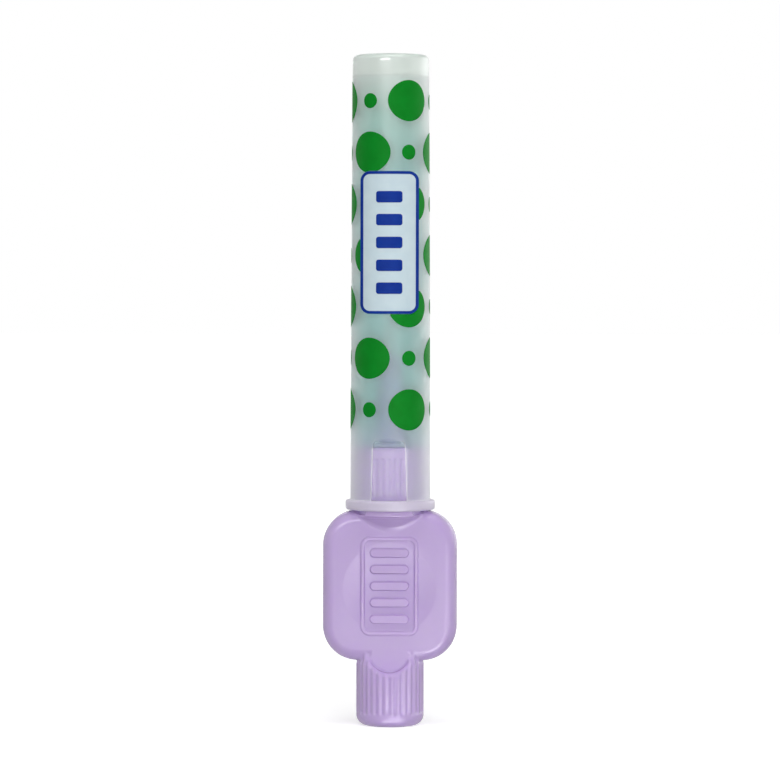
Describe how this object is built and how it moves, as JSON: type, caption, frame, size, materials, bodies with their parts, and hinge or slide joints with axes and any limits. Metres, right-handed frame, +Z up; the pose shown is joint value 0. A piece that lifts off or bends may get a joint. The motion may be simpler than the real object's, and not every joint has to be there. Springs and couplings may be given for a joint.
{
  "type": "interdental brush",
  "caption": "Capped interdental brush: lilac finger grip with a ribbed barrel and plug, twisted wire with bristles, and a frosted pull-off cap with a spotted print.",
  "frame": {"origin": "centre of the flat foot at the free end of the ribbed barrel", "axes": "+Z up along the brush from the barrel to the cap's closed end, +X across the width of the finger plate, -Y out of the printed front"},
  "size_m": [0.017, 0.0114, 0.0852],
  "materials": {
    "lilac_plastic": "satin moulded polypropylene",
    "wire_steel": "drawn",
    "wire_coat": "smooth",
    "bristle_nylon": "drawn filament",
    "frosted_plastic": "frosted translucent polypropylene",
    "pale_ink": "printed",
    "dark_ink": "printed",
    "green_ink": "printed"
  },
  "bodies": {
    "brush_body": {"handle": "lilac_plastic", "wire_core": "wire_steel", "wire_coating": "wire_coat", "bristles": "bristle_nylon"},
    "cap_body": {"cap": "frosted_plastic", "print_panel": "pale_ink", "print_lines": "dark_ink", "print_spots": "green_ink"}
  },
  "joints": [
    {"name": "cap_pull", "type": "slide", "parent": "brush_body", "child": "cap_body", "axis": [0, 0, 1], "range_m": [0, 0.065]}
  ]
}
